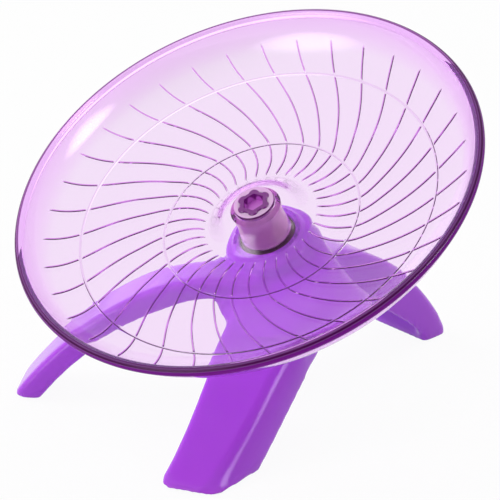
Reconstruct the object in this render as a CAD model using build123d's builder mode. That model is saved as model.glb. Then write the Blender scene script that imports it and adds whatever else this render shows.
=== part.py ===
from build123d import *
from math import cos, pi, radians, sin
import os

os.makedirs("parts", exist_ok=True)

# Saucer wheel for a hamster: a clear dish with spiral grip ridges spins on a tilted hub
# bearing, and a three-legged moulded stand carries the bearing in its turret.
# Millimetres, +Z up, ground at Z = 0, origin on the ground at the middle of the footprint.
# Heights along the tilted spin axis are counted from the plane of the turret's rim.

# Driving sizes of the whole wheel
dish_radius = 90.0
axis_tilt = 30.75
turret_height = 64.8
turret_y = 0.6
overrun = 4.0
quarter_turn = 90.0
press_gap = 0.04

# Dish
dish_floor_height = 11.2
dish_wall = 2.0
inner_circle_radius = 38.74
lower_wall_radius = 54.0
lower_wall_rise = 3.4
outer_circle_radius = 69.85
outer_circle_rise = 8.24
shoulder_radius = 82.3
shoulder_rise = 15.5
dish_depth = 24.7
lip_inset = 2.1
lip_bead_radius = 1.2
dome_foot_radius = 22.0
dome_knee_radius = 13.6
dome_knee_rise = 5.9
dome_top_rise = 7.6
dome_sink_share = 0.25

# Spiral grip ridges: turns in degrees at each radius, and the two circles they cross
ridge_count = 34
ridge_width = 0.6
ridge_height = 0.5
ridge_root = 0.5
circle_ridge_height = 0.35
ridge_phase = 9.35
ridge_start_radius = 22.4
ridge_dip_radius = 29.0
ridge_dip_turn = -3.0
ridge_inner_turn = -0.1
ridge_sweep_radius = 50.0
ridge_sweep_turn = 7.6
ridge_outer_turn = 19.3
ridge_end_turn = 23.3

# Tangents at the ends of the dish's section lines, and where those lines are sampled
dome_tangents = ((1, -0.2), (1, 0))
wall_tangents = ((1, 0.1), (0.5, 1))
section_shares = (0, 0.25, 0.5, 0.75, 1)

# Clear boss of the dish, the hub sleeve inside it and the cap on top
boss_base_height = 3.4
boss_top_height = 20.0
boss_base_radius = 10.0
boss_top_radius = 8.0
boss_wall = 1.0
sleeve_base_height = 3.0
sleeve_web_height = 12.0
cap_floor_height = 14.2
cap_rise = 0.3
cap_core_radius = 5.3
cap_lobe_radius = 2.0
cap_lobe_pitch_radius = 4.5
cap_lobe_count = 6
cap_recess_radius = 4.3
cap_recess_depth = 2.6
cap_recess_draft = 12.0
cap_edge_chamfer = 0.35

# Axle, spacer, washer and retaining clip
axle_radius = 4.0
axle_head_radius = 5.6
axle_head_thickness = 1.6
axle_tip_length = 1.6
axle_edge_chamfer = 0.4
spacer_radius = 5.7
washer_thickness = 0.5
clip_thickness = 0.7
clip_radius = 6.6
clip_groove_radius = 3.3
clip_mouth_width = 5.0
clip_relief_radius = 1.5
clip_relief_count = 3

# Ball bearing, 8 x 22 x 7
bearing_radius = 11.0
bearing_width = 7.0
bearing_top_height = 1.8
outer_shoulder_radius = 9.2
shield_seat_radius = 9.6
inner_shoulder_radius = 5.9
bearing_chamfer = 0.3
ball_radius = 1.985
ball_pitch_radius = 7.5
ball_count = 7
race_groove_radius = 2.03
shield_thickness = 0.35
shield_inset = 0.25
shield_inner_radius = 6.1
cage_inner_radius = 6.75
cage_outer_radius = 8.25
cage_strip_thickness = 0.4
cage_pocket_radius = 2.06

# Stand: turret, bearing socket and feet
stand_wall = 2.4
rim_radius = 17.15
rim_rounding = 1.2
neck_radius = 18.6
neck_drop = 5.0
skirt_radius = 25.0
skirt_height = 40.8
skirt_x = 3.0
skirt_y = 2.0
web_neck_radius = 17.6
web_radius = 29.6
web_x = 16.8
web_y = -6.5
deck_rise = 1.6
deck_thickness = 2.6
socket_wall = 2.3
shelf_radius = 8.6
shelf_thickness = 1.8
leg_root_reach = 12.0
leg_block_span = 60.0
leg_rounding = 2.5
toe_trim = 1.0
toe_corner = 5.0
pad_thickness = 2.0
pad_stand = 0.8
pad_corner = 2.0

# Legs: azimuths are counted from the low side of the dish, -Y, towards +X. Root sizes are
# taken below the turret and tip sizes where the toe meets the ground.
front_leg = {
    "azimuth": 16.6,
    "reach": 87.7,
    "root_height": 49.0,
    "knee_reach_share": 0.46,
    "knee_height": 50.6,
    "ankle_reach_share": 0.80,
    "ankle_height": 7.2,
    "root_depth": 15.4,
    "tip_depth": 13.3,
    "arch_relief": 0.0,
    "root_width": 37.8,
    "tip_width": 23.1,
    "root_offset": 12.9,
    "tip_offset": -3.2,
    "hollow_reach": 60.0,
    "pad_reach": 71.5,
    "pad_length": 11.0,
    "pad_width": 15.0,
}
left_leg = {
    "azimuth": -60.2,
    "reach": 100.1,
    "root_height": 52.0,
    "knee_reach_share": 0.50,
    "knee_height": 56.8,
    "ankle_reach_share": 0.87,
    "ankle_height": 18.1,
    "root_depth": 9.5,
    "tip_depth": 8.9,
    "arch_relief": 0.0,
    "root_width": 24.4,
    "tip_width": 25.3,
    "root_offset": 7.4,
    "tip_offset": 8.0,
    "hollow_reach": 84.0,
    "pad_reach": 93.4,
    "pad_length": 6.0,
    "pad_width": 17.0,
}
rear_leg = {
    "azimuth": 166.3,
    "reach": 93.8,
    "root_height": 53.0,
    "knee_reach_share": 0.52,
    "knee_height": 59.8,
    "ankle_reach_share": 0.90,
    "ankle_height": 17.8,
    "root_depth": 17.3,
    "tip_depth": 13.3,
    "arch_relief": 5.0,
    "root_width": 34.2,
    "tip_width": 32.9,
    "root_offset": 2.6,
    "tip_offset": 2.5,
    "hollow_reach": 76.0,
    "pad_reach": 85.8,
    "pad_length": 8.0,
    "pad_width": 24.0,
}

# Spin axis and the planes that hold the hub's sections
lean = radians(axis_tilt)
turret_plane = Plane(
    origin=(0, turret_y, turret_height),
    x_dir=(1, 0, 0),
    z_dir=(0, -sin(lean), cos(lean)),
)
section_plane = Plane(
    origin=turret_plane.origin,
    x_dir=turret_plane.x_dir,
    z_dir=-turret_plane.y_dir,
)
spin_axis = Axis(turret_plane.origin, turret_plane.z_dir)

# Stack heights along the spin axis
boss_slope = (boss_top_radius - boss_base_radius) / (boss_top_height - boss_base_height)
lip_height = dish_floor_height + dish_depth
dome_top_height = dish_floor_height + dome_top_rise
flange_height = boss_top_height - boss_wall
cap_top_height = boss_top_height + cap_rise
bearing_base_height = bearing_top_height - bearing_width
bearing_middle_height = (bearing_top_height + bearing_base_height) / 2
washer_base_height = bearing_base_height - washer_thickness
clip_base_height = washer_base_height - clip_thickness
axle_tip_height = clip_base_height - axle_tip_length
shelf_base_height = bearing_base_height - shelf_thickness


def boss_radius(height):
    """Outer radius of the tapered boss at a height along the axis."""
    return boss_base_radius + boss_slope * (height - boss_base_height)


def revolved_ring(inner, outer, low, high):
    """Ring about the spin axis with a rectangular section."""
    with BuildPart() as ring:
        with BuildSketch(section_plane):
            with BuildLine():
                corners = ((inner, low), (outer, low), (outer, high), (inner, high))
                Polyline(*corners, close=True)
            make_face()
        revolve(axis=spin_axis)
    return ring.part


def lifted_spline(nodes, tangents, lift):
    """Smooth section line through the nodes, moved off its own surface by lift."""
    base = Spline(*nodes, tangents=tangents, mode=Mode.PRIVATE)
    points = []
    for share in section_shares:
        point = base.position_at(share, PositionMode.PARAMETER)
        slope = base.tangent_at(share, PositionMode.PARAMETER)
        points.append(point + Vector(-slope.Y, slope.X) * lift)
    return Spline(*points, tangents=tangents)


def wall_line(lift):
    """Running surface of the curved wall, from the inner circle to the lip."""
    nodes = (
        (inner_circle_radius, dish_floor_height),
        (lower_wall_radius, dish_floor_height + lower_wall_rise),
        (outer_circle_radius, dish_floor_height + outer_circle_rise),
        (shoulder_radius, dish_floor_height + shoulder_rise),
        (dish_radius - lip_inset, dish_floor_height + dish_depth),
    )
    return lifted_spline(nodes, wall_tangents, lift)


def dome_line(lift):
    """Surface of the dome, from the boss out to the floor."""
    nodes = (
        (boss_radius(dome_top_height) - boss_wall * dome_sink_share, dome_top_height),
        (dome_knee_radius, dish_floor_height + dome_knee_rise),
        (dome_foot_radius, dish_floor_height),
    )
    return lifted_spline(nodes, dome_tangents, lift)


def polar_point(radius, turn):
    """Point in the dish's plane at a radius and a turn in degrees."""
    return (radius * cos(radians(turn)), radius * sin(radians(turn)))


# Band of surface that holds every grip ridge, from inside the wall to the ridge's crest
with BuildPart() as ridge_layer:
    with BuildSketch(section_plane):
        with BuildLine():
            crest = wall_line(ridge_height)
            root = wall_line(-ridge_root)
            crest_start = (dome_foot_radius, dish_floor_height + ridge_height)
            root_start = (dome_foot_radius, dish_floor_height - ridge_root)
            Polyline(crest @ 0, crest_start, root_start, root @ 0)
            Line(crest @ 1, root @ 1)
        make_face()
    revolve(axis=spin_axis)

# One spiral grip ridge: a traced S-curve cut to the layer above the running surface
with BuildPart() as grip_ridge:
    with BuildSketch(turret_plane):
        with BuildLine():
            Spline(
                polar_point(ridge_start_radius, ridge_phase),
                polar_point(ridge_dip_radius, ridge_phase + ridge_dip_turn),
                polar_point(inner_circle_radius, ridge_phase + ridge_inner_turn),
                polar_point(ridge_sweep_radius, ridge_phase + ridge_sweep_turn),
                polar_point(outer_circle_radius, ridge_phase + ridge_outer_turn),
                polar_point(shoulder_radius, ridge_phase + ridge_end_turn),
            )
        trace(line_width=ridge_width)
    extrude(amount=lip_height)
    add(ridge_layer.part, mode=Mode.INTERSECT)

# The whole ring of grip ridges
with BuildPart() as grip_ridges:
    with Locations(turret_plane):
        with PolarLocations(0, ridge_count):
            add(grip_ridge.part.moved(turret_plane.location.inverse()))

# Clear dish: dome, floor, curved wall, rounded lip and hollow boss, with the ridges on it
with BuildPart() as dish_shell:
    with BuildSketch(section_plane):
        with BuildLine():
            dome = dome_line(0)
            wall = wall_line(0)
            dome_below = dome_line(-dish_wall)
            wall_below = wall_line(-dish_wall)
            Line(dome @ 1, wall @ 0)
            Line(dome_below @ 1, wall_below @ 0)
            Line(dome @ 0, dome_below @ 0)
            Line(wall @ 1, wall_below @ 1)
            lip_centre = (wall @ 1 + wall_below @ 1) / 2
        make_face()
    revolve(axis=spin_axis)
    with BuildSketch(section_plane):
        with Locations(lip_centre):
            Circle(lip_bead_radius)
        with Locations(
            (inner_circle_radius, dish_floor_height),
            (outer_circle_radius, dish_floor_height + outer_circle_rise),
        ):
            Rectangle(ridge_width, circle_ridge_height + circle_ridge_height)
    revolve(axis=spin_axis)
    with BuildSketch(section_plane):
        with BuildLine():
            Polyline(
                (boss_radius(boss_base_height) - boss_wall, boss_base_height),
                (boss_radius(boss_base_height), boss_base_height),
                (boss_radius(boss_top_height), boss_top_height),
                (0, boss_top_height),
                (0, flange_height),
                (boss_radius(flange_height) - boss_wall, flange_height),
                close=True,
            )
        make_face()
    revolve(axis=spin_axis)
    with BuildSketch(turret_plane.offset(flange_height)):
        Circle(cap_core_radius + press_gap)
        with PolarLocations(cap_lobe_pitch_radius, cap_lobe_count):
            Circle(cap_lobe_radius + press_gap)
    extrude(amount=boss_wall, both=True, mode=Mode.SUBTRACT)

saucer = dish_shell.part.fuse(*grip_ridges.solids())
saucer.label = "saucer"
export_step(saucer, "parts/saucer.step")

# Hub sleeve: tapered carrier that fills the clear boss and grips the axle
pocket_radius = cap_lobe_pitch_radius + cap_lobe_radius + press_gap
with BuildPart() as hub_sleeve:
    with BuildSketch(section_plane):
        with BuildLine():
            Polyline(
                (axle_radius + press_gap, sleeve_base_height),
                (boss_radius(sleeve_base_height) - boss_wall - press_gap, sleeve_base_height),
                (boss_radius(flange_height) - boss_wall - press_gap, flange_height - press_gap),
                (pocket_radius, flange_height - press_gap),
                (pocket_radius, sleeve_web_height),
                (axle_radius + press_gap, sleeve_web_height),
                close=True,
            )
        make_face()
    revolve(axis=spin_axis)

hub_sleeve.part.label = "hub_sleeve"
export_step(hub_sleeve.part, "parts/hub_sleeve.step")

# Six-lobed cap with a hexagonal recess, pressed through the top of the boss
with BuildPart() as hub_cap:
    with BuildSketch(turret_plane.offset(cap_floor_height)):
        Circle(cap_core_radius)
        with PolarLocations(cap_lobe_pitch_radius, cap_lobe_count):
            Circle(cap_lobe_radius)
    extrude(amount=cap_top_height - cap_floor_height)
    cap_top = hub_cap.faces().sort_by(spin_axis)[-1]
    chamfer(cap_top.edges(), cap_edge_chamfer)
    with BuildSketch(turret_plane.offset(cap_top_height)):
        RegularPolygon(radius=cap_recess_radius, side_count=cap_lobe_count)
    extrude(amount=-cap_recess_depth, taper=cap_recess_draft, mode=Mode.SUBTRACT)

hub_cap.part.label = "hub_cap"
export_step(hub_cap.part, "parts/hub_cap.step")

# Axle: headed steel pin with a clip groove near its tip
with BuildPart() as axle:
    with BuildSketch(turret_plane.offset(axle_tip_height)):
        Circle(axle_radius)
    extrude(amount=sleeve_web_height - axle_tip_height)
    with BuildSketch(turret_plane.offset(sleeve_web_height)):
        Circle(axle_head_radius)
    extrude(amount=axle_head_thickness)
    end_faces = axle.faces().sort_by(spin_axis)
    chamfer(end_faces[0].edges(), axle_edge_chamfer)
    chamfer(end_faces[-1].edges(), axle_edge_chamfer)
    with BuildSketch(turret_plane.offset(clip_base_height)):
        Circle(axle_radius)
        Circle(clip_groove_radius, mode=Mode.SUBTRACT)
    extrude(amount=clip_thickness, mode=Mode.SUBTRACT)

axle.part.label = "axle"
export_step(axle.part, "parts/axle.step")

# Spacer between the sleeve and the bearing's inner ring
with BuildPart() as hub_spacer:
    bore = axle_radius + press_gap
    add(revolved_ring(bore, spacer_radius, bearing_top_height, sleeve_base_height))

hub_spacer.part.label = "hub_spacer"
export_step(hub_spacer.part, "parts/hub_spacer.step")

# Washer below the inner ring
with BuildPart() as axle_washer:
    add(revolved_ring(bore, spacer_radius, washer_base_height, bearing_base_height))

axle_washer.part.label = "axle_washer"
export_step(axle_washer.part, "parts/axle_washer.step")

# Retaining clip: open ring with three relief notches, snapped into the axle's groove
clip_relief_pitch = clip_groove_radius + clip_relief_radius / 2
with BuildPart() as retaining_clip:
    with BuildSketch(turret_plane.offset(clip_base_height)):
        Circle(clip_radius)
        Circle(clip_groove_radius + press_gap, mode=Mode.SUBTRACT)
        with Locations((0, -clip_radius)):
            Rectangle(clip_mouth_width, clip_radius + clip_radius, mode=Mode.SUBTRACT)
        with PolarLocations(clip_relief_pitch, clip_relief_count, start_angle=quarter_turn):
            Circle(clip_relief_radius, mode=Mode.SUBTRACT)
    extrude(amount=clip_thickness)

retaining_clip.part.label = "retaining_clip"
export_step(retaining_clip.part, "parts/retaining_clip.step")

# Bearing: outer ring with its raceway and the seats of the shields
shield_outer_height = bearing_top_height - shield_inset
shield_inner_height = shield_outer_height - shield_thickness
shield_step = bearing_top_height - shield_inner_height
with BuildPart() as bearing_outer_ring:
    add(
        revolved_ring(
            outer_shoulder_radius, bearing_radius, bearing_base_height, bearing_top_height
        )
    )
    rim_edges = bearing_outer_ring.edges().filter_by(GeomType.CIRCLE)
    chamfer(rim_edges.sort_by(SortBy.RADIUS)[-2:], bearing_chamfer)
    with BuildSketch(section_plane):
        with Locations((ball_pitch_radius, bearing_middle_height)):
            Circle(race_groove_radius)
        with Locations(
            (ball_pitch_radius, bearing_top_height),
            (ball_pitch_radius, bearing_base_height),
        ):
            Rectangle(
                2 * (shield_seat_radius - ball_pitch_radius), shield_step + shield_step
            )
    revolve(axis=spin_axis, mode=Mode.SUBTRACT)

bearing_outer_ring.part.label = "bearing_outer_ring"
export_step(bearing_outer_ring.part, "parts/bearing_outer_ring.step")

# Bearing: inner ring with its raceway
with BuildPart() as bearing_inner_ring:
    add(revolved_ring(bore, inner_shoulder_radius, bearing_base_height, bearing_top_height))
    with BuildSketch(section_plane):
        with Locations((ball_pitch_radius, bearing_middle_height)):
            Circle(race_groove_radius)
    revolve(axis=spin_axis, mode=Mode.SUBTRACT)

bearing_inner_ring.part.label = "bearing_inner_ring"
export_step(bearing_inner_ring.part, "parts/bearing_inner_ring.step")

# Bearing: balls
ball_plane = turret_plane.offset(bearing_middle_height)
with BuildPart() as bearing_balls:
    with Locations(ball_plane):
        with PolarLocations(ball_pitch_radius, ball_count):
            Sphere(ball_radius)

bearing_balls.part.label = "bearing_balls"
export_step(bearing_balls.part, "parts/bearing_balls.step")


def cage_half(side):
    """Pressed ribbon cage half: flat strips joined by arched pockets over the balls."""
    arch_radius = cage_pocket_radius + cage_strip_thickness
    arch_length = cage_outer_radius - cage_inner_radius + ball_radius
    with BuildPart() as half:
        with Locations(ball_plane):
            with PolarLocations(ball_pitch_radius, ball_count):
                Cylinder(arch_radius, arch_length, rotation=(0, quarter_turn, 0))
        with BuildSketch(ball_plane):
            Circle(cage_outer_radius)
        extrude(amount=side * cage_strip_thickness)
        with BuildSketch(ball_plane):
            Circle(cage_outer_radius)
            Circle(cage_inner_radius, mode=Mode.SUBTRACT)
        extrude(amount=side * arch_radius, mode=Mode.INTERSECT)
        with Locations(ball_plane):
            with PolarLocations(ball_pitch_radius, ball_count):
                Cylinder(
                    cage_pocket_radius,
                    arch_length,
                    rotation=(0, quarter_turn, 0),
                    mode=Mode.SUBTRACT,
                )
    return half.part


# Bearing: the two cage halves that keep the balls apart
bearing_cage_upper = cage_half(1)
bearing_cage_upper.label = "bearing_cage_upper"
export_step(bearing_cage_upper, "parts/bearing_cage_upper.step")

bearing_cage_lower = cage_half(-1)
bearing_cage_lower.label = "bearing_cage_lower"
export_step(bearing_cage_lower, "parts/bearing_cage_lower.step")

# Bearing: two thin shields seated in the outer ring
with BuildPart() as bearing_upper_shield:
    add(
        revolved_ring(
            shield_inner_radius,
            shield_seat_radius - press_gap,
            shield_inner_height,
            shield_outer_height,
        )
    )

bearing_upper_shield.part.label = "bearing_upper_shield"
export_step(bearing_upper_shield.part, "parts/bearing_upper_shield.step")

with BuildPart() as bearing_lower_shield:
    add(
        revolved_ring(
            shield_inner_radius,
            shield_seat_radius - press_gap,
            bearing_base_height + shield_inset,
            bearing_base_height + shield_inset + shield_thickness,
        )
    )

bearing_lower_shield.part.label = "bearing_lower_shield"
export_step(bearing_lower_shield.part, "parts/bearing_lower_shield.step")


def leg_planes(leg):
    """Upright plane through the leg's length, and the ground plane turned to the leg."""
    azimuth = radians(leg["azimuth"])
    along = (sin(azimuth), -cos(azimuth), 0)
    across = (cos(azimuth), sin(azimuth), 0)
    upright = Plane(
        origin=(0, turret_y, pad_stand), x_dir=along, z_dir=(-across[0], -across[1], 0)
    )
    ground = Plane(origin=upright.origin, x_dir=along, z_dir=(0, 0, 1))
    return upright, ground


def side_point(leg, reach, margin, side):
    """Point on the leg's plan edge; side is -1 or 1, and margin draws it inwards."""
    share = reach / leg["reach"]
    middle = leg["root_offset"] + (leg["tip_offset"] - leg["root_offset"]) * share**2
    width = leg["root_width"] + (leg["tip_width"] - leg["root_width"]) * share
    return (reach, middle + side * (width / 2 - margin))


def leg_block(leg, skin, depth_margin, end_reach, rounding):
    """Arched leg between its top curve lowered by skin and its underside, cut to plan."""
    upright, ground = leg_planes(leg)
    with BuildPart() as block:
        with BuildSketch(upright.offset(-leg_block_span)):
            with BuildLine():
                top = Bezier(
                    (leg_root_reach, leg["root_height"]),
                    (leg["knee_reach_share"] * leg["reach"], leg["knee_height"]),
                    (leg["ankle_reach_share"] * leg["reach"], leg["ankle_height"]),
                    (leg["reach"], 0),
                    mode=Mode.PRIVATE,
                )
                upper_points = []
                lower_points = []
                for share in section_shares:
                    point = top.position_at(share, PositionMode.PARAMETER)
                    slope = top.tangent_at(share, PositionMode.PARAMETER)
                    inward = Vector(slope.Y, -slope.X)
                    depth = leg["root_depth"] + (leg["tip_depth"] - leg["root_depth"]) * share
                    depth -= leg["arch_relief"] * sin(pi * share * share)
                    upper_points.append(point + inward * skin)
                    lower_points.append(point + inward * (depth + depth_margin))
                upper = Spline(*upper_points)
                lower = Spline(*lower_points)
                Line(upper @ 1, lower @ 1)
                root_top = (0, (upper @ 0).Y)
                root_base = (0, (lower @ 0).Y)
                Polyline(lower @ 0, root_base, root_top, upper @ 0)
            make_face()
        extrude(amount=leg_block_span + leg_block_span)
        with BuildSketch(ground):
            with BuildLine():
                middle_reach = leg["reach"] / 2
                near = ThreePointArc(
                    side_point(leg, 0, skin, -1),
                    side_point(leg, middle_reach, skin, -1),
                    side_point(leg, end_reach, skin, -1),
                )
                far = ThreePointArc(
                    side_point(leg, 0, skin, 1),
                    side_point(leg, middle_reach, skin, 1),
                    side_point(leg, end_reach, skin, 1),
                )
                Line(near @ 0, far @ 0)
                Line(near @ 1, far @ 1)
            outline = make_face()
            fillet(outline.vertices().sort_by(Axis.X)[-2:], toe_corner - skin)
        extrude(amount=turret_height, mode=Mode.INTERSECT)
        if rounding > 0:
            top_face = block.faces().filter_by(GeomType.EXTRUSION).sort_by(Axis.Z)[-1]
            long_edge = leg["root_width"] / 2
            fillet(top_face.edges().filter_by(lambda edge: edge.length > long_edge), rounding)
    return block.part


def turret_bell(skin, rounding):
    """Flared turret between the tilted rim and the level skirt, drawn inwards by skin."""
    with BuildPart() as bell:
        with BuildSketch(turret_plane.offset(-skin)):
            Circle(rim_radius - skin)
        with BuildSketch(turret_plane.offset(-skin - neck_drop)):
            Circle(neck_radius - skin)
        with BuildSketch(Plane(origin=(skirt_x, skirt_y, skirt_height - skin))):
            Circle(skirt_radius - skin)
        loft()
        if rounding > 0:
            fillet(bell.edges().sort_by(spin_axis)[-1], rounding)
    return bell.part


def leg_web(skin):
    """Low flare that joins the front leg to its neighbours, drawn inwards by skin."""
    with BuildPart() as web:
        with BuildSketch(turret_plane.offset(-skin - neck_drop)):
            Circle(web_neck_radius - skin)
        with BuildSketch(Plane(origin=(web_x, web_y, skirt_height - skin))):
            Circle(web_radius - skin)
        loft()
    return web.part


# Stand: bell-shaped turret on three arched, hollow legs, with the bearing's socket
socket_radius = bearing_radius + socket_wall
with BuildPart() as stand:
    add(turret_bell(0, rim_rounding))
    add(leg_web(0))
    for leg in (front_leg, left_leg, rear_leg):
        add(leg_block(leg, 0, 0, leg["reach"] - toe_trim, leg_rounding))
    for leg in (front_leg, left_leg, rear_leg):
        hollow = leg_block(leg, stand_wall, overrun, leg["hollow_reach"], 0)
        add(hollow, mode=Mode.SUBTRACT)
    add(turret_bell(stand_wall, 0), mode=Mode.SUBTRACT)
    add(leg_web(stand_wall), mode=Mode.SUBTRACT)
    with BuildSketch(section_plane):
        with BuildLine():
            Polyline(
                (0, deck_rise),
                (socket_radius, deck_rise),
                (rim_radius - stand_wall, 0),
                (rim_radius - stand_wall, -deck_thickness),
                (socket_radius, -deck_thickness),
                (socket_radius, shelf_base_height),
                (0, shelf_base_height),
                close=True,
            )
        make_face()
    revolve(axis=spin_axis)
    with BuildSketch(turret_plane.offset(bearing_base_height)):
        Circle(bearing_radius + press_gap)
    extrude(amount=bearing_width + overrun, mode=Mode.SUBTRACT)
    with BuildSketch(turret_plane.offset(bearing_base_height)):
        Circle(shelf_radius)
    extrude(amount=-shelf_thickness - overrun, mode=Mode.SUBTRACT)
    for leg in (front_leg, left_leg, rear_leg):
        with BuildSketch(leg_planes(leg)[1]):
            with Locations((leg["pad_reach"], leg["tip_offset"])):
                RectangleRounded(leg["pad_length"], leg["pad_width"], pad_corner)
        extrude(amount=pad_thickness - pad_stand, mode=Mode.SUBTRACT)

stand.part.label = "stand"
export_step(stand.part, "parts/stand.step")


def foot_pad(leg):
    """Soft pad pressed into the pocket under a leg's toe."""
    with BuildPart() as pad:
        with BuildSketch(leg_planes(leg)[1].offset(-pad_stand)):
            with Locations((leg["pad_reach"], leg["tip_offset"])):
                RectangleRounded(
                    leg["pad_length"] - 2 * press_gap,
                    leg["pad_width"] - 2 * press_gap,
                    pad_corner - press_gap,
                )
        extrude(amount=pad_thickness - press_gap)
    return pad.part


# Foot pads
front_foot_pad = foot_pad(front_leg)
front_foot_pad.label = "front_foot_pad"
export_step(front_foot_pad, "parts/front_foot_pad.step")

left_foot_pad = foot_pad(left_leg)
left_foot_pad.label = "left_foot_pad"
export_step(left_foot_pad, "parts/left_foot_pad.step")

rear_foot_pad = foot_pad(rear_leg)
rear_foot_pad.label = "rear_foot_pad"
export_step(rear_foot_pad, "parts/rear_foot_pad.step")
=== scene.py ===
import math

import bpy
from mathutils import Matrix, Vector


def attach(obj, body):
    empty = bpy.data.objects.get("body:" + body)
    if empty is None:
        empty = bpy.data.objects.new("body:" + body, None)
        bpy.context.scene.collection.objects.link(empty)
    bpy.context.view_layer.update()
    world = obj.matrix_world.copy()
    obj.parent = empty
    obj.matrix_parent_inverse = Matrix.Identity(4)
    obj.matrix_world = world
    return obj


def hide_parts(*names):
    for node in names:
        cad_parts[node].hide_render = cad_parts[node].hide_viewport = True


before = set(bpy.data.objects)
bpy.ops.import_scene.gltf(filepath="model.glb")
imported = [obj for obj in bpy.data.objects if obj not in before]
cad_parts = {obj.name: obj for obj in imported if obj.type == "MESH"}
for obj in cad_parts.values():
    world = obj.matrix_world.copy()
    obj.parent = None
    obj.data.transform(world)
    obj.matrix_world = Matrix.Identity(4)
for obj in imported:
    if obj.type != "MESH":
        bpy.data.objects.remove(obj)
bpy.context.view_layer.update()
bpy.ops.object.select_all(action="DESELECT")

# The wheel's spin axis: heights are counted along it from the plane of the turret's rim
MM = 0.001
AXIS_TILT = math.radians(30.75)
TURRET = Vector((0, 0.0006, 0.0648))
AXIS = Vector((0, -math.sin(AXIS_TILT), math.cos(AXIS_TILT)))
UPHILL = Vector((0, math.cos(AXIS_TILT), math.sin(AXIS_TILT)))
ACROSS = Vector((1, 0, 0))


# Materials

# Fineness of the noise in moulded plastic and metal, and in the clear plastic
MOTTLE_DETAIL = 3
CLEAR_DETAIL = 2
CLEAR_SCALE = 40
CLEAR_ROUGHNESS = (0.015, 0.05)
CLEAR_IOR = 1.47


def shader(name):
    """A new material and its main shader."""
    material = bpy.data.materials.new(name)
    material.use_nodes = True
    return material, material.node_tree.nodes["Principled BSDF"]


def add_node(owner, kind, **settings):
    """A new node in a material or in the world."""
    node = owner.node_tree.nodes.new(kind)
    for key, value in settings.items():
        setattr(node, key, value)
    return node


def link(owner, source, target):
    owner.node_tree.links.new(source, target)


def wandering(material, scale, detail):
    """A value that wanders over the surface."""
    place = add_node(material, "ShaderNodeTexCoord")
    noise = add_node(material, "ShaderNodeTexNoise")
    noise.inputs["Scale"].default_value = scale
    noise.inputs["Detail"].default_value = detail
    link(material, place.outputs["Object"], noise.inputs["Vector"])
    return noise.outputs["Fac"]


def uneven_gloss(material, main, wander, roughness):
    """Roughness that moves between two values with a wandering one."""
    rough = add_node(material, "ShaderNodeMapRange")
    rough.inputs["To Min"].default_value, rough.inputs["To Max"].default_value = roughness
    link(material, wander, rough.inputs["Value"])
    link(material, rough.outputs["Result"], main.inputs["Roughness"])


def mottled(material, main, pale, deep, scale, roughness):
    """Colour and roughness that wander slightly over the surface, as moulded plastic does."""
    wander = wandering(material, scale, MOTTLE_DETAIL)
    ramp = add_node(material, "ShaderNodeMix", data_type="RGBA")
    ramp.inputs["A"].default_value = (*pale, 1)
    ramp.inputs["B"].default_value = (*deep, 1)
    link(material, wander, ramp.inputs["Factor"])
    link(material, ramp.outputs["Result"], main.inputs["Base Color"])
    uneven_gloss(material, main, wander, roughness)
    return wander


def fine_bump(material, main, source, strength, distance):
    """Very shallow surface waviness."""
    bump = add_node(material, "ShaderNodeBump")
    bump.inputs["Strength"].default_value = strength
    bump.inputs["Distance"].default_value = distance
    link(material, source, bump.inputs["Height"])
    link(material, bump.outputs["Normal"], main.inputs["Normal"])


# Marks on the dish that change its tint, its cloudy body and how much of that shows: painted
# shade on the raised grip ridges, the violet band near the rim, painted light on the pale end of
# the boss, and painted shade on the vivid side and dark top of the lip and on a dark ring round
# the boss; these last show only from outside
TINT, BODY, BODY_SHARE = range(3)
DISH_MARKS = {
    "ridge_shade": ((0.68, 0.17, 0.80), (0.48, 0.07, 0.64), 0.14),
    "edge": ((0.97, 0.74, 1.0), (0.75, 0.30, 0.95), 0.08),
    "crown_light": ((0.95, 0.70, 0.97), (0.98, 0.66, 0.99), 0.70),
    "side": ((0.50, 0.04, 0.66), (0.23, 0.004, 0.32), 0.95),
    "lip_and_boss_shade": ((0.50, 0.04, 0.66), (0.085, 0.002, 0.085), 0.92),
}
OUTSIDE_MARKS = ("side", "lip_and_boss_shade")


def marked(material, plain, part, kind):
    """A value or colour that changes where the dish's own attributes mark it."""
    result = None
    for attribute, changes in DISH_MARKS.items():
        mark = add_node(material, "ShaderNodeAttribute", attribute_name=attribute)
        share = mark.outputs["Fac"]
        if attribute in OUTSIDE_MARKS:
            side = add_node(material, "ShaderNodeNewGeometry")
            outside = add_node(material, "ShaderNodeMath", operation="SUBTRACT", use_clamp=True)
            link(material, share, outside.inputs[0])
            link(material, side.outputs["Backfacing"], outside.inputs[1])
            share = outside.outputs["Value"]
        mix = add_node(material, "ShaderNodeMix", data_type=kind)
        link(material, share, mix.inputs["Factor"])
        if result:
            link(material, result, mix.inputs["A"])
        else:
            mix.inputs["A"].default_value = plain
        change = changes[part]
        mix.inputs["B"].default_value = change if part == BODY_SHARE else (*change, 1)
        result = mix.outputs["Result"]
    return result


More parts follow.
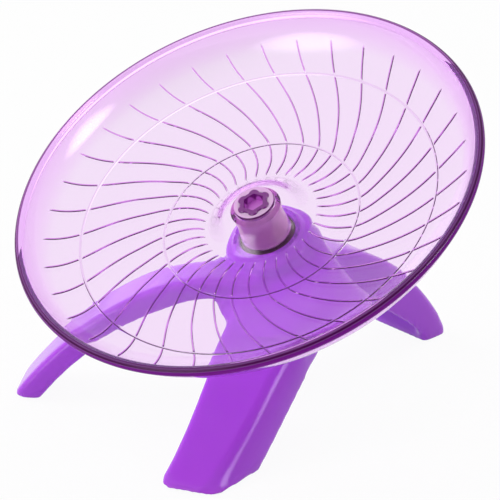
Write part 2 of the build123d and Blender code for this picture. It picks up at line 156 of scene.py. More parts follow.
def clear_plastic(name, tint, body, body_share, absorbed, density):
    """Clear moulded plastic: colour comes from its depth, and its shadow stays pale."""
    material, main = shader(name)
    link(material, marked(material, (*tint, 1), TINT, "RGBA"), main.inputs["Base Color"])
    main.inputs["Transmission Weight"].default_value = 1
    main.inputs["IOR"].default_value = CLEAR_IOR
    wander = wandering(material, CLEAR_SCALE, CLEAR_DETAIL)
    uneven_gloss(material, main, wander, CLEAR_ROUGHNESS)
    haze = add_node(material, "ShaderNodeBsdfPrincipled")
    link(material, marked(material, (*body, 1), BODY, "RGBA"), haze.inputs["Base Color"])
    haze.inputs["Roughness"].default_value = 0.12
    haze.inputs["IOR"].default_value = CLEAR_IOR
    haze.inputs["Specular IOR Level"].default_value = 0.08
    hazy = add_node(material, "ShaderNodeMixShader")
    link(material, marked(material, body_share, BODY_SHARE, "FLOAT"), hazy.inputs["Fac"])
    link(material, main.outputs["BSDF"], hazy.inputs[1])
    link(material, haze.outputs["BSDF"], hazy.inputs[2])
    path = add_node(material, "ShaderNodeLightPath")
    passing = add_node(material, "ShaderNodeBsdfTransparent")
    passing.inputs["Color"].default_value = (*tint, 1)
    choice = add_node(material, "ShaderNodeMixShader")
    link(material, path.outputs["Is Shadow Ray"], choice.inputs["Fac"])
    link(material, hazy.outputs["Shader"], choice.inputs[1])
    link(material, passing.outputs["BSDF"], choice.inputs[2])
    output = material.node_tree.nodes["Material Output"]
    link(material, choice.outputs["Shader"], output.inputs["Surface"])
    depth = add_node(material, "ShaderNodeVolumeAbsorption")
    depth.inputs["Color"].default_value = (*absorbed, 1)
    depth.inputs["Density"].default_value = density
    link(material, depth.outputs["Volume"], output.inputs["Volume"])
    return material


dish_plastic = clear_plastic(
    "clear_dish",
    tint=(0.99, 0.96, 1.0),
    body=(0.45, 0.05, 0.45),
    body_share=0.04,
    absorbed=(0.80, 0.10, 0.98),
    density=85,
)

stand_plastic, main = shader("stand_purple")
wander = mottled(
    stand_plastic,
    main,
    pale=(0.52, 0.085, 0.88),
    deep=(0.44, 0.062, 0.81),
    scale=18,
    roughness=(0.14, 0.20),
)
main.inputs["Specular IOR Level"].default_value = 0.25
main.inputs["Subsurface Weight"].default_value = 0.15
main.inputs["Subsurface Radius"].default_value = (0.8, 0.3, 1.0)
main.inputs["Subsurface Scale"].default_value = 0.004
main.inputs["Coat Weight"].default_value = 0.15
main.inputs["Coat Roughness"].default_value = 0.05
fine_bump(stand_plastic, main, wander, strength=0.08, distance=0.001)

hub_plastic, main = shader("hub_mauve")
mottled(
    hub_plastic,
    main,
    pale=(0.86, 0.53, 0.70),
    deep=(0.78, 0.47, 0.64),
    scale=60,
    roughness=(0.25, 0.35),
)

# The cap is magenta, painted deeper round its lobes as painted shade and paler in its recess as
# painted light against the recess's shade
CAP_RECESS = 3.7 * MM
CAP_RECESS_BLEND = 0.2 * MM
CAP_SCALE = 90
CAP_ROUGHNESS = (0.18, 0.30)
cap_plastic, main = shader("cap_magenta")
uneven_gloss(cap_plastic, main, wandering(cap_plastic, CAP_SCALE, MOTTLE_DETAIL), CAP_ROUGHNESS)
main.inputs["Coat Weight"].default_value = 0.3
place = add_node(cap_plastic, "ShaderNodeTexCoord")
from_axis = add_node(cap_plastic, "ShaderNodeVectorMath", operation="SUBTRACT")
from_axis.inputs[1].default_value = TURRET
link(cap_plastic, place.outputs["Object"], from_axis.inputs[0])
off_axis = add_node(cap_plastic, "ShaderNodeVectorMath", operation="CROSS_PRODUCT")
off_axis.inputs[1].default_value = AXIS
link(cap_plastic, from_axis.outputs["Vector"], off_axis.inputs[0])
reach = add_node(cap_plastic, "ShaderNodeVectorMath", operation="LENGTH")
link(cap_plastic, off_axis.outputs["Vector"], reach.inputs[0])
rim = add_node(cap_plastic, "ShaderNodeMapRange")
rim.inputs["From Min"].default_value = CAP_RECESS - CAP_RECESS_BLEND
rim.inputs["From Max"].default_value = CAP_RECESS
link(cap_plastic, reach.outputs["Value"], rim.inputs["Value"])
# Painted light in the recess, painted shade round the lobes
recess_light_lobe_shade = add_node(cap_plastic, "ShaderNodeMix", data_type="RGBA")
recess_light_lobe_shade.inputs["A"].default_value = (0.66, 0.15, 0.72, 1)
recess_light_lobe_shade.inputs["B"].default_value = (0.20, 0.006, 0.23, 1)
link(cap_plastic, rim.outputs["Result"], recess_light_lobe_shade.inputs["Factor"])
link(cap_plastic, recess_light_lobe_shade.outputs["Result"], main.inputs["Base Color"])

pad_rubber, main = shader("pad_rubber")
wander = mottled(
    pad_rubber,
    main,
    pale=(0.05, 0.05, 0.055),
    deep=(0.03, 0.03, 0.035),
    scale=400,
    roughness=(0.7, 0.9),
)
fine_bump(pad_rubber, main, wander, strength=0.3, distance=0.0003)


def metal(name, pale, deep, scale, roughness):
    material, main = shader(name)
    main.inputs["Metallic"].default_value = 1
    mottled(material, main, pale, deep, scale, roughness)
    return material


turned_steel = metal("steel", (0.30, 0.28, 0.24), (0.22, 0.20, 0.17), 300, (0.25, 0.40))
# The bearing's outer ring, cage and shields are far darker than steel: painted shade for the
# dark gap they sit in
shaded_bearing_steel = metal("shaded_bearing_steel", (0.12, 0.10, 0.07), (0.06, 0.05, 0.035), 300, (0.3, 0.4))
shield_steel = metal("shield_steel", (0.10, 0.085, 0.05), (0.05, 0.04, 0.025), 250, (0.3, 0.45))
clip_steel = metal("clip_steel", (0.22, 0.22, 0.23), (0.14, 0.14, 0.15), 350, (0.3, 0.45))

finishes = {
    "saucer": dish_plastic,
    "hub_sleeve": hub_plastic,
    "hub_cap": cap_plastic,
    "axle": turned_steel,
    "hub_spacer": turned_steel,
    "axle_washer": turned_steel,
    "retaining_clip": clip_steel,
    "bearing_outer_ring": shaded_bearing_steel,
    "bearing_inner_ring": turned_steel,
    "bearing_balls": turned_steel,
    "bearing_cage_upper": shield_steel,
    "bearing_cage_lower": shield_steel,
    "bearing_upper_shield": shield_steel,
    "bearing_lower_shield": shield_steel,
    "stand": stand_plastic,
    "front_foot_pad": pad_rubber,
    "left_foot_pad": pad_rubber,
    "rear_foot_pad": pad_rubber,
}
for name, material in finishes.items():
    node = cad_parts[name]
    node.data.materials.clear()
    node.data.materials.append(material)


# Clear dish. Its section runs from the lip over the running surface, up the boss, through
# the cap's opening and back under the floor. Radii and heights are in millimetres.

# The ridges start and end in a slope, and stop short of the two circles that cross them
RIDGES = 34
RIDGE_PHASE = 9.35
RIDGE_HEIGHT = 0.5
RIDGE_START = 22.4
RIDGE_END = 82.3
RIDGE_SLOPE_IN = 0.8
RIDGE_SLOPE_OUT = 1.0
RIDGE_GAP = 0.5
RIDGE_GAP_SLOPE = 0.4
CIRCLES = (38.74, 69.85)
CIRCLE_HEIGHT = 0.35
CIRCLE_HALF_WIDTH = 0.45
CIRCLE_SLOPE = 0.15
# Share of the ridges' painted shade that the circles get
CIRCLE_SHADE = 0.35

# Rows that the ridges' ends and the circles need, as steps from their radii
START_STEPS = (-0.3, 0.6)
END_STEPS = (-0.8, 0.3)
CIRCLE_STEPS = (-1.0, -0.6, -0.42, -0.25, 0.25, 0.42, 0.6, 1.0)
CLOSEST_ROWS = 0.05

# How far round a ridge has swept, in degrees, at radii of the running surface
RIDGE_TURNS = (
    (22.4, 0.0),
    (29.0, -3.0),
    (38.74, -0.1),
    (50.0, 7.6),
    (69.85, 19.3),
    (82.3, 23.3),
)
SWEEP_STEP = 0.5

# Columns within one ridge's share of the turn: places across the ridge with their share of
# its height, then the plain ones up to the next ridge
RIDGE_COLUMNS = ((-0.38, 0.0), (-0.24, 0.85), (0.0, 1.0), (0.24, 0.85), (0.38, 0.0))
PLAIN_COLUMNS = 7

# The violet band on the wall, the wall's thickness, and where its faces meet the boss and lip
EDGE_START = 80.0
EDGE_END = 88.0
WALL = 2.0
FLOOR_HEIGHT = 11.2
TOP_END = 86.8
UNDER_START = 9.2
UNDER_END = 88.7
SHARP_ANGLE = math.radians(35)

# Six-lobed opening for the cap
CAP_LOBES = 6
CAP_WAIST = 5.34
LOBE_DISTANCE = 4.5
LOBE_RADIUS = 2.04

# Rounded bead along the lip, from the wall's outside over the top to its inside. Its side is
# painted vivid with its reflection held down, and its top dark, both painted shade; a lighter
# line along the top is a painted glint where more of the real gloss shows, and past that it
# joins the violet band.
LIP_RADIUS = 1.8
LIP_ROWS = 20
LIP_CENTRE = Vector((88.2, 34.9))
LIP_START, LIP_END = math.radians(-70), math.radians(220)
LIP_SIDE_END, LIP_SHADE_END = math.radians(42), math.radians(97)
LIP_SHINE, LIP_SHINE_HALF_WIDTH = math.radians(75), math.radians(5)
LIP_SHINE_MARK = 0.7

# Painted shade and painted light on the boss, row by row from its shoulder into the cap's
# opening: a dark ring of painted shade round the shoulder and pale painted light on its end
BOSS_SHADE = [0.3, 1.0, 1.0, 0.0]
BOSS_LIGHT = [0.0, 0.0, 0.0, 1.0, 1.0, 0.6]


def clamped(value):
    """The value kept between 0 and 1."""
    return min(1.0, max(0.0, value))


def smooth_path(nodes, start_slope, end_slope, steps):
    """Points of a smooth curve through the nodes."""
    slopes = [Vector(start_slope)]
    for before, after in zip(nodes, nodes[2:]):
        slopes.append((Vector(after) - Vector(before)) / 2)
    slopes.append(Vector(end_slope))
    points = []
    for i in range(len(nodes) - 1):
        a, b = Vector(nodes[i]), Vector(nodes[i + 1])
        u, v = slopes[i], slopes[i + 1]
        for step in range(steps):
            t = step / steps
            points.append(
                a * (2 * t**3 - 3 * t**2 + 1)
                + u * (t**3 - 2 * t**2 + t)
                + b * (-2 * t**3 + 3 * t**2)
                + v * (t**3 - t**2)
            )
    points.append(Vector(nodes[-1]))
    return points


def wall_normal(points, i):
    """Direction off the surface at one point of a line."""
    before = points[max(i - 1, 0)]
    after = points[min(i + 1, len(points) - 1)]
    along = (after - before).normalized()
    return Vector((-along.y, along.x))


def lifted(points, lift):
    """The same line moved off its own surface."""
    return [point + wall_normal(points, i) * lift for i, point in enumerate(points)]


turn_path = smooth_path(RIDGE_TURNS, start_slope=(5, -4.5), end_slope=(10, 2.2), steps=12)


def ridge_turn(radius):
    """How far round a ridge has swept at a radius, in degrees."""
    if radius <= turn_path[0].x:
        return turn_path[0].y
    for a, b in zip(turn_path, turn_path[1:]):
        if radius <= b.x:
            return a.y + (b.y - a.y) * (radius - a.x) / (b.x - a.x)
    return turn_path[-1].y


def split_rows(points, extra_radii):
    """Adds rows to a line where it crosses the given radii."""
    rows = list(points)
    for radius in extra_radii:
        for i, (a, b) in enumerate(zip(rows, rows[1:])):
            if a.x < radius < b.x:
                if min(radius - a.x, b.x - radius) > CLOSEST_ROWS:
                    rows.insert(i + 1, a.lerp(b, (radius - a.x) / (b.x - a.x)))
                break
    return rows


dome_nodes = ((8.3, 18.8), (13.6, 17.1), (22.0, FLOOR_HEIGHT))
dome_line = smooth_path(dome_nodes, start_slope=(5, -0.8), end_slope=(8, 0), steps=8)
floor_line = [Vector((radius, FLOOR_HEIGHT)) for radius in (24.5, 27, 29.5, 32, 34.5, 36.5)]
wall_nodes = (
    (38.74, FLOOR_HEIGHT),
    (54.0, 14.6),
    (69.85, 19.44),
    (82.3, 26.7),
    (87.9, 35.9),
)
wall_line = smooth_path(wall_nodes, start_slope=(14, 1.4), end_slope=(4.4, 8.8), steps=9)
whole_line = dome_line + floor_line + wall_line

details = [RIDGE_START + step for step in START_STEPS]
details += [RIDGE_END + step for step in END_STEPS]
for circle in CIRCLES:
    details += [circle + step for step in CIRCLE_STEPS]
top_line = [point for point in split_rows(whole_line, details) if point.x < TOP_END]
under_line = lifted(whole_line, -WALL)
under_line = [point for point in under_line if UNDER_START < point.x < UNDER_END]

# The boss: its shoulder, the cap's opening as distances from the outline with heights, and
# the inner and outer sides of the boss under the dish
shoulder = ((8.08, 19.15), (8.03, 19.6), (7.97, 19.85), (7.78, 20.0))
opening_rows = ((0.25, 20.0), (0.0, 19.8), (0.0, 19.0))
inner_side = ((7.12, 19.0), (7.6, 14.0), (8.2, 9.0), (9.0, 3.4))
outer_side = ((9.85, 3.4), (10.0, 3.6), (9.72, 6.0), (9.3, 9.4), (9.0, 12.0))
shoulder_line = [Vector(point) for point in shoulder]
boss_line = [Vector(point) for point in inner_side + outer_side]

lip_line = []
lip_side_shade_marks = []
lip_top_shade_marks = []
for step in range(LIP_ROWS + 1):
    angle = LIP_START + (LIP_END - LIP_START) * step / LIP_ROWS
    lip_line.append(LIP_CENTRE + LIP_RADIUS * Vector((math.cos(angle), math.sin(angle))))
    # Side rows carry painted shade with reflection held down; top rows carry painted shade,
    # lighter along a painted glint line
    lip_side_shade_marks.append(1.0 if angle < LIP_SIDE_END else 0.0)
    top_shade = LIP_SHINE_MARK if abs(angle - LIP_SHINE) < LIP_SHINE_HALF_WIDTH else 1.0
    lip_top_shade_marks.append(top_shade if LIP_SIDE_END <= angle < LIP_SHADE_END else 0.0)


def row_lift(radius):
    """Height of the ridges and of the two circles at a radius of the running surface."""
    ridge = clamped((radius - RIDGE_START) / RIDGE_SLOPE_IN)
    ridge = min(ridge, clamped((RIDGE_END - radius) / RIDGE_SLOPE_OUT))
    circle = 0.0
    for middle in CIRCLES:
        away = abs(radius - middle)
        circle = max(circle, clamped((CIRCLE_HALF_WIDTH - away) / CIRCLE_SLOPE))
        ridge = min(ridge, clamped((away - RIDGE_GAP) / RIDGE_GAP_SLOPE))
    return ridge * RIDGE_HEIGHT, circle * CIRCLE_HEIGHT


def cap_outline(angle):
    """Radius of the six-lobed opening for the cap at an angle round the axis."""
    reach = CAP_WAIST
    for lobe in range(CAP_LOBES):
        away = angle - math.radians(360 / CAP_LOBES * lobe)
        side = LOBE_DISTANCE * math.sin(away)
        if abs(side) < LOBE_RADIUS and math.cos(away) > 0:
            far = LOBE_DISTANCE * math.cos(away) + math.sqrt(LOBE_RADIUS**2 - side**2)
            reach = max(reach, far)
    return reach


def dish_point(radius, height, angle):
    """Place of a point of the dish in the frame."""
    place = TURRET + AXIS * height * MM
    return place + (ACROSS * math.cos(angle) + UPHILL * math.sin(angle)) * radius * MM


def column_angles(radius):
    """Angles of all columns at a radius, and how high each stands on a ridge."""
    pitch = 2 * math.pi / RIDGES
    reach = max(radius, RIDGE_START)
    sweep = math.radians(ridge_turn(radius + SWEEP_STEP) - ridge_turn(radius - SWEEP_STEP))
    slant = math.cos(math.atan2(sweep * reach, 2 * SWEEP_STEP))
    start = math.radians(RIDGE_PHASE + ridge_turn(radius))
    shape = [(side / reach / slant, share) for side, share in RIDGE_COLUMNS]
    edge = shape[-1][0]
    rest = pitch - 2 * edge
    for i in range(PLAIN_COLUMNS):
        shape.append((edge + rest * (i + 1) / (PLAIN_COLUMNS + 1), 0.0))
    columns = []
    for ridge in range(RIDGES):
        for away, share in shape:
            columns.append((start + ridge * pitch + away, share))
    return columns


def turned_rows(line, angle_radius=None):
    """Rows of a line's points, each on the columns of its own radius or of a given one."""
    rows = []
    for point in line:
        columns = column_angles(point.x if angle_radius is None else angle_radius)
        rows.append([dish_point(point.x, point.y, angle) for angle, share in columns])
    return rows


def running_surface():
    """Rows of the dish's upper side from the lip inwards, and how raised each point is, which
    sets how much painted shade darkens it.
    """
    rows = []
    ridge_shade = []
    for i, point in reversed(list(enumerate(top_line))):
        normal = wall_normal(top_line, i)
        ridge, circle = row_lift(point.x)
        row = []
        for angle, share in column_angles(point.x):
            place = point + normal * max(ridge * share, circle)
            row.append(dish_point(place.x, place.y, angle))
            # How much painted shade darkens this point of a ridge or circle
            ridge_shade.append(max(share * ridge, circle * CIRCLE_SHADE) / RIDGE_HEIGHT)
        rows.append(row)
    return rows, ridge_shade


def edge_mark(radius):
    """Strength of the violet band at a radius of the wall."""
    return clamped((radius - EDGE_START) / (EDGE_END - EDGE_START))


def padded(marks, count):
    """The marks, with unmarked ones added up to a count."""
    return marks + [0.0] * (count - len(marks))


def shell_faces(row_count, column_count):
    """Faces of a closed shell: its rows and its columns both come back to their start."""
    faces = []
    for i in range(row_count):
        below = (i + 1) % row_count
        for j in range(column_count):
            side = (j + 1) % column_count
            corners = ((i, j), (below, j), (below, side), (i, side))
            faces.append([row * column_count + column for row, column in corners])
    return faces


def build_dish():
    """One closed shell, with the grip ridges raised on its running surface."""
    rows, ridge_shade = running_surface()
    edge = [edge_mark(point.x) for point in reversed(top_line)]
    # The boss's end gets its painted light and its shoulder its ring of painted shade
    crown_light = padded([], len(rows)) + BOSS_LIGHT
    lip_and_boss_shade = padded([], len(rows)) + BOSS_SHADE
    rows += turned_rows(shoulder_line)
    angles = [angle for angle, share in column_angles(0)]
    for away, height in opening_rows:
        rows.append([dish_point(cap_outline(angle) + away, height, angle) for angle in angles])
    rows += turned_rows(boss_line)
    edge = padded(edge, len(rows)) + [edge_mark(point.x) for point in under_line]
    rows += turned_rows(under_line)
    edge += [1.0] * len(lip_line)
    # The lip's rows get the painted shade of its side and of its top
    lip_side_shade = padded([], len(rows)) + lip_side_shade_marks
    lip_and_boss_shade = padded(lip_and_boss_shade, len(rows)) + lip_top_shade_marks
    rows += turned_rows(lip_line, LIP_CENTRE.x)
    crown_light = padded(crown_light, len(rows))
    columns = len(rows[0])
    mesh = bpy.data.meshes.new("clear_dish")
    places = [place for row in rows for place in row]
    mesh.from_pydata(places, [], shell_faces(len(rows), columns))
    marks = {"ridge_shade": padded(ridge_shade, len(places))}
    for name, row_marks in (("edge", edge), ("crown_light", crown_light), ("side", lip_side_shade), ("lip_and_boss_shade", lip_and_boss_shade)):
        marks[name] = [mark for mark in row_marks for column in range(columns)]
    for name, values in marks.items():
        mesh.attributes.new(name, "FLOAT", "POINT").data.foreach_set("value", values)
    dish = bpy.data.objects.new("clear_dish", mesh)
    bpy.context.scene.collection.objects.link(dish)
    return dish


def make_active(piece):
    bpy.ops.object.select_all(action="DESELECT")
    piece.select_set(True)
    bpy.context.view_layer.objects.active = piece


clear_dish = build_dish()
make_active(clear_dish)
bpy.ops.object.mode_set(mode="EDIT")
bpy.ops.mesh.select_all(action="SELECT")
bpy.ops.mesh.normals_make_consistent(inside=False)
bpy.ops.object.mode_set(mode="OBJECT")
bpy.ops.object.shade_smooth_by_angle(angle=SHARP_ANGLE)
clear_dish.data.materials.append(dish_plastic)
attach(clear_dish, "dish_body")
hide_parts("saucer")


# Stand: the moulding with its steps drawn into soft blends, as it leaves the mould. Points
# that a rule picks less strongly than the least weight stay where they are.
STAND_VOXEL = 0.0008
JOIN_DISTANCE = 0.00001
LEAST_WEIGHT = 0.01

# Blend round the foot of the turret
BLEND_MIDDLE_Y = 0.002
BLEND_RADIUS = 0.028
BLEND_LEVEL = 0.046
BLEND_REACH = 0.016
BLEND_GAIN = 2.0

# The web on the right, between the front and rear legs, is drawn rearwards from its middle
WEB_CENTRE = Vector((0.0168, -0.0065, 0))
WEB_INNER = 0.020
WEB_OUTER = 0.029
WEB_SIDES = 0.5
WEB_LEVEL = 0.041
WEB_DEPTH = 0.012
WEB_GAIN = 2.0
WEB_FRONT_FADE = 3.0
WEB_REARWARDS = Vector((0.2, 0.98, 0))
WEB_REAR_SPREAD = 0.004

# Collar drawn up round the bearing
COLLAR_BORE = 10 * MM
COLLAR_RISE = 1.6 * MM
COLLAR_TOP = 12.2 * MM
COLLAR_FOOT = 15.4 * MM
COLLAR_DEPTH = 1.3 * MM

# The rear leg's side walls reach down to a flatter arch, and its toe, from a share of the
# leg's length on, is a little narrower
REAR_ALONG = Vector((0.2368, 0.9716, 0))
REAR_SIDE = Vector((-0.9716, 0.2368, 0))
REAR_START = 34 * MM
REAR_REACH = 93.8 * MM
REAR_HALF_WIDTH = 22 * MM
REAR_FADE = 8 * MM
REAR_DROP = 9 * MM
REAR_SKIRT = 10 * MM
REAR_STEP = 2 * MM
REAR_EVEN_STEPS = 2
TOE_START = 0.6
TOE_GAIN = 4
TOE_TUCK = 3.5 * MM
SOLE_TOP = 0.9 * MM
SMOOTH_ABOVE = 2 * MM

# The front leg's right edge is rounded more than the others: the rule picks points whose
# normals lean both up and to the right
FRONT_ALONG = Vector((0.2857, -0.9583, 0))
FRONT_SIDE = Vector((0.9583, 0.2857, 0))
FRONT_START = 0.024
FRONT_RIGHT = 0.002
EDGE_LEAN = 0.08
EDGE_GAIN = 4.0
EDGE_ROUNDS = 16


def blend_weight(vertex):
    """How strongly a point near the foot of the turret is drawn into a blend."""
    place = vertex.co
    away = Vector((place.x, place.y - BLEND_MIDDLE_Y)).length
    near = max(0.0, 1.0 - abs(away - BLEND_RADIUS) / BLEND_REACH)
    level = max(0.0, 1.0 - abs(place.z - BLEND_LEVEL) / BLEND_REACH)
    return min(1.0, BLEND_GAIN * near * level)


def web_reach(place):
    """How far the web between the front and rear legs is drawn towards the rear."""
    out = Vector((place.x - WEB_CENTRE.x, place.y - WEB_CENTRE.y, 0))
    reach = clamped((out.length - WEB_INNER) / (WEB_OUTER - WEB_INNER))
    facing = max(0.0, out.normalized().x - WEB_SIDES) / (1.0 - WEB_SIDES)
    facing *= clamped(1.0 + WEB_FRONT_FADE * out.normalized().y)
    level = clamped(WEB_GAIN * (1.0 - abs(place.z - WEB_LEVEL) / WEB_DEPTH))
    return WEB_REARWARDS * WEB_REAR_SPREAD * clamped(WEB_GAIN * facing) * reach * level


def collar_rise(place):
    """How far the deck rises at the bearing."""
    away = place - TURRET
    height = away.dot(AXIS)
    radius = (away - AXIS * height).length
    if abs(height) > COLLAR_DEPTH or radius < COLLAR_BORE:
        return Vector()
    share = clamped((COLLAR_FOOT - radius) / (COLLAR_FOOT - COLLAR_TOP))
    return AXIS * COLLAR_RISE * share * share * (3 - 2 * share)


def rear_leg_points(piece):
    """Points of the rear leg, with how far along it and to its side each one is."""
    points = []
    for vertex in piece.data.vertices:
        along = vertex.co.dot(REAR_ALONG)
        side = vertex.co.dot(REAR_SIDE)
        if REAR_START < along < REAR_REACH and abs(side) < REAR_HALF_WIDTH:
            points.append((vertex, along, side))
    return points


def wall_bottoms(points):
    """Height of the rear leg's lower edge at each step along it, evened out."""
    lowest = {}
    for vertex, along, side in points:
        step = int(along // REAR_STEP)
        lowest[step] = min(lowest.get(step, 1.0), vertex.co.z)
    even = {}
    for step in lowest:
        around = range(step - REAR_EVEN_STEPS, step + REAR_EVEN_STEPS + 1)
        near = [lowest[other] for other in around if other in lowest]
        even[step] = sum(near) / len(near)
    return even


def bottom_at(bottoms, along):
    """Height of the lower edge at a distance along the leg, from the middles of the steps."""
    place = along / REAR_STEP - 0.5
    before = min(max(int(place // 1), min(bottoms)), max(bottoms))
    after = min(before + 1, max(bottoms))
    return bottoms[before] + (bottoms[after] - bottoms[before]) * (place - before)


def flatten_rear_arch(piece):
    """Draws the lower edges of the rear leg's walls down, and its toe's far side inwards."""
    points = rear_leg_points(piece)
    bottoms = wall_bottoms(points)
    weights = {}
    for vertex, along, side in points:
        share = clamped(1.0 - (vertex.co.z - bottom_at(bottoms, along)) / REAR_SKIRT)
        blend = min(1.0, (along - REAR_START) / REAR_FADE)
        drop = REAR_DROP * blend * share * math.sin(math.pi * (along / REAR_REACH) ** 2)
        tuck = max(0.0, side / REAR_HALF_WIDTH)
        tuck *= clamped((along / REAR_REACH - TOE_START) * TOE_GAIN)
        vertex.co.z = max(vertex.co.z - drop, min(vertex.co.z, SOLE_TOP))
        vertex.co -= REAR_SIDE * TOE_TUCK * tuck
        if vertex.co.z > SMOOTH_ABOVE:
            weights[vertex.index] = min(blend, (REAR_REACH - along) / REAR_FADE)
    smooth_part(piece, "rear_arch", weights, factor=0.5, iterations=14)


def edge_weight(vertex):
    """How strongly a point on the front leg's right edge is rounded."""
    if vertex.co.dot(FRONT_ALONG) < FRONT_START or vertex.co.dot(FRONT_SIDE) < FRONT_RIGHT:
        return 0.0
    if vertex.normal.z < 0:
        return 0.0
    up = math.hypot(vertex.normal.z, max(0.0, vertex.normal.dot(FRONT_ALONG)))
    side = vertex.normal.dot(FRONT_SIDE)
    return clamped(EDGE_GAIN * (min(up, side) - EDGE_LEAN))


def picked(piece, weigh):
    """The points that a rule picks, and how strongly it picks each."""
    weights = {vertex.index: weigh(vertex) for vertex in piece.data.vertices}
    return {index: weight for index, weight in weights.items() if weight > LEAST_WEIGHT}


def smooth_part(piece, name, weights, factor, iterations):
    """Draws the weighted points of a piece into a smooth surface."""
    group = piece.vertex_groups.new(name=name)
    for index, weight in weights.items():
        group.add([index], weight, "REPLACE")
    flow = piece.modifiers.new(name, "SMOOTH")
    flow.factor = factor
    flow.iterations = iterations
    flow.vertex_group = group.name
    make_active(piece)
    bpy.ops.object.modifier_apply(modifier=flow.name)
    piece.vertex_groups.clear()


def moulded_stand():
    """The stand's solid as an even mesh, softened and drawn to the moulding's form."""
    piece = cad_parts["stand"].copy()
    piece.data = piece.data.copy()
    piece.name = "moulded_stand"
    piece.data.name = "moulded_stand"
    for key in list(piece.keys()):
        del piece[key]
    piece.parent = None
    bpy.context.scene.collection.objects.link(piece)
    make_active(piece)
    bpy.ops.object.mode_set(mode="EDIT")
    bpy.ops.mesh.select_all(action="SELECT")
    bpy.ops.mesh.remove_doubles(threshold=JOIN_DISTANCE)
    bpy.ops.object.mode_set(mode="OBJECT")
    remesh = piece.modifiers.new("even_mesh", "REMESH")
    remesh.mode = "VOXEL"
    remesh.voxel_size = STAND_VOXEL
    bpy.ops.object.modifier_apply(modifier=remesh.name)
    soften = piece.modifiers.new("soft_edges", "SMOOTH")
    soften.factor = 0.5
    soften.iterations = 22
    bpy.ops.object.modifier_apply(modifier=soften.name)
    for vertex in piece.data.vertices:
        vertex.co += web_reach(vertex.co) + collar_rise(vertex.co)
    flatten_rear_arch(piece)
    smooth_part(piece, "turret_blend", picked(piece, blend_weight), factor=0.6, iterations=60)
    for turn in range(EDGE_ROUNDS):
        smooth_part(piece, "rounded_edge", picked(piece, edge_weight), factor=0.5, iterations=30)
    bpy.ops.object.shade_smooth()
    piece.data.materials.clear()
    piece.data.materials.append(stand_plastic)
    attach(piece, "stand_body")
    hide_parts("stand")


moulded_stand()


# Floor, world, lamps and camera

# The floor shines by itself for eyes and gloss, so that it joins the white surround
FLOOR_SIZE = 6
FLOOR_GLOW = 0.94

# Large soft boxes round the studio: where each stands, how wide it spreads and how bright.
# The last one is the dark room behind the camera. Gloss sees them in full on a white surround,
# and the shading gets a small share of them.
AMBIENT = 0.42
BOX_SHARE = 0.12
SOFT_BOXES = (
    ((-0.24, -0.90, 0.30), 0.08, 4.0),
    ((0.85, 0.03, 0.53), 0.05, 7.0),
    ((-0.78, 0.61, 0.07), 0.12, 0.8),
    ((0.50, -0.73, 0.46), 0.35, -0.85),
)

# Lamps: name, place, what each points at, width and power
LAMPS = (
    ("key", (-0.9, -0.7, 1.3), (0, 0, 0.05), 0.7, 9),
    ("left_fill", (-1.3, -0.1, 0.45), (0, 0, 0.03), 0.6, 6),
    ("rear_fill", (0.25, 1.0, 1.0), (0, 0, 0.03), 0.6, 4.5),
)


def seen_directly(owner):
    """1 for rays of the camera, of gloss and through the clear dish, 0 for those of shading."""
    path = add_node(owner, "ShaderNodeLightPath")
    seen = path.outputs["Is Camera Ray"]
    for ray in ("Is Transmission Ray", "Is Glossy Ray"):
        either = add_node(owner, "ShaderNodeMath", operation="MAXIMUM")
        link(owner, seen, either.inputs[0])
        link(owner, path.outputs[ray], either.inputs[1])
        seen = either.outputs["Value"]
    return seen


bpy.ops.mesh.primitive_plane_add(size=FLOOR_SIZE, location=(0, 0, 0))
floor = bpy.context.object
floor.name = "floor"
floor_paint, main = shader("floor_white")
main.inputs["Base Color"].default_value = (0.86, 0.86, 0.87, 1)
main.inputs["Roughness"].default_value = 0.9
main.inputs["Specular IOR Level"].default_value = 0.1
glow = add_node(floor_paint, "ShaderNodeEmission")
glow.inputs["Color"].default_value = (1, 1, 1, 1)
share = add_node(floor_paint, "ShaderNodeMath", operation="MULTIPLY")
share.inputs[1].default_value = FLOOR_GLOW
link(floor_paint, seen_directly(floor_paint), share.inputs[0])
choice = add_node(floor_paint, "ShaderNodeMixShader")
link(floor_paint, share.outputs["Value"], choice.inputs["Fac"])
link(floor_paint, main.outputs["BSDF"], choice.inputs[1])
link(floor_paint, glow.outputs["Emission"], choice.inputs[2])
output = floor_paint.node_tree.nodes["Material Output"]
link(floor_paint, choice.outputs["Shader"], output.inputs["Surface"])
floor.data.materials.append(floor_paint)

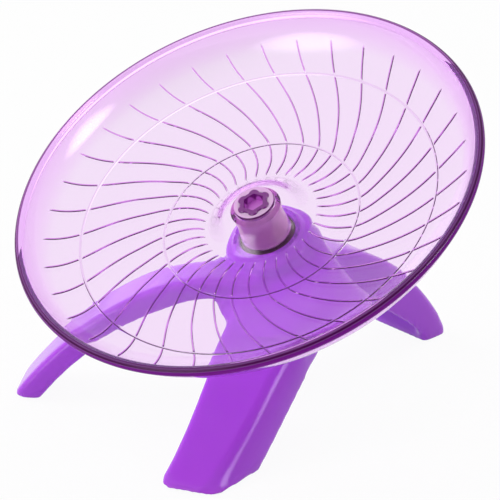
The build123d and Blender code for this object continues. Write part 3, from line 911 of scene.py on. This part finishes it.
world = bpy.data.worlds.new("studio")
bpy.context.scene.world = world
world.use_nodes = True
background = world.node_tree.nodes["Background"]
background.inputs["Color"].default_value = (1, 1, 1, 1)
ways = add_node(world, "ShaderNodeTexCoord")
total = None
for place, spread, strength in SOFT_BOXES:
    facing = add_node(world, "ShaderNodeVectorMath", operation="DOT_PRODUCT")
    facing.inputs[1].default_value = Vector(place).normalized()
    link(world, ways.outputs["Generated"], facing.inputs[0])
    glow = add_node(world, "ShaderNodeMapRange", interpolation_type="SMOOTHSTEP")
    glow.inputs["From Min"].default_value = 1 - spread
    glow.inputs["From Max"].default_value = 1
    glow.inputs["To Max"].default_value = strength
    link(world, facing.outputs["Value"], glow.inputs["Value"])
    if total:
        joined = add_node(world, "ShaderNodeMath", operation="ADD")
        link(world, glow.outputs["Result"], joined.inputs[0])
        link(world, total, joined.inputs[1])
        total = joined.outputs["Value"]
    else:
        total = glow.outputs["Result"]
shading = add_node(world, "ShaderNodeMath", operation="MULTIPLY_ADD")
shading.inputs[1].default_value = BOX_SHARE
shading.inputs[2].default_value = AMBIENT
link(world, total, shading.inputs[0])
showing = add_node(world, "ShaderNodeMath", operation="ADD")
showing.inputs[1].default_value = 1
link(world, total, showing.inputs[0])
level = add_node(world, "ShaderNodeMix")
link(world, seen_directly(world), level.inputs["Factor"])
link(world, shading.outputs["Value"], level.inputs["A"])
link(world, showing.outputs["Value"], level.inputs["B"])
link(world, level.outputs["Result"], background.inputs["Strength"])

for name, place, target, width, power in LAMPS:
    data = bpy.data.lights.new(name, "AREA")
    data.shape = "RECTANGLE"
    data.size = data.size_y = width
    data.energy = power
    lamp = bpy.data.objects.new(name, data)
    bpy.context.scene.collection.objects.link(lamp)
    lamp.location = place
    aim = Vector(target) - Vector(place)
    lamp.rotation_euler = aim.to_track_quat("-Z", "Y").to_euler()
    lamp.visible_glossy = False
    lamp.visible_transmission = False

camera_data = bpy.data.cameras.new("photo_view")
camera_data.sensor_width = 36
camera_data.lens = 106.19
camera_data.clip_start = 0.02
camera_data.clip_end = 20
camera = bpy.data.objects.new("photo_view", camera_data)
bpy.context.scene.collection.objects.link(camera)
camera.location = (0.2975, -0.4361, 0.2728)
camera.rotation_euler = (math.radians(68), 0, math.radians(35.04))
bpy.context.scene.camera = camera
bpy.context.scene.view_settings.view_transform = "Standard"
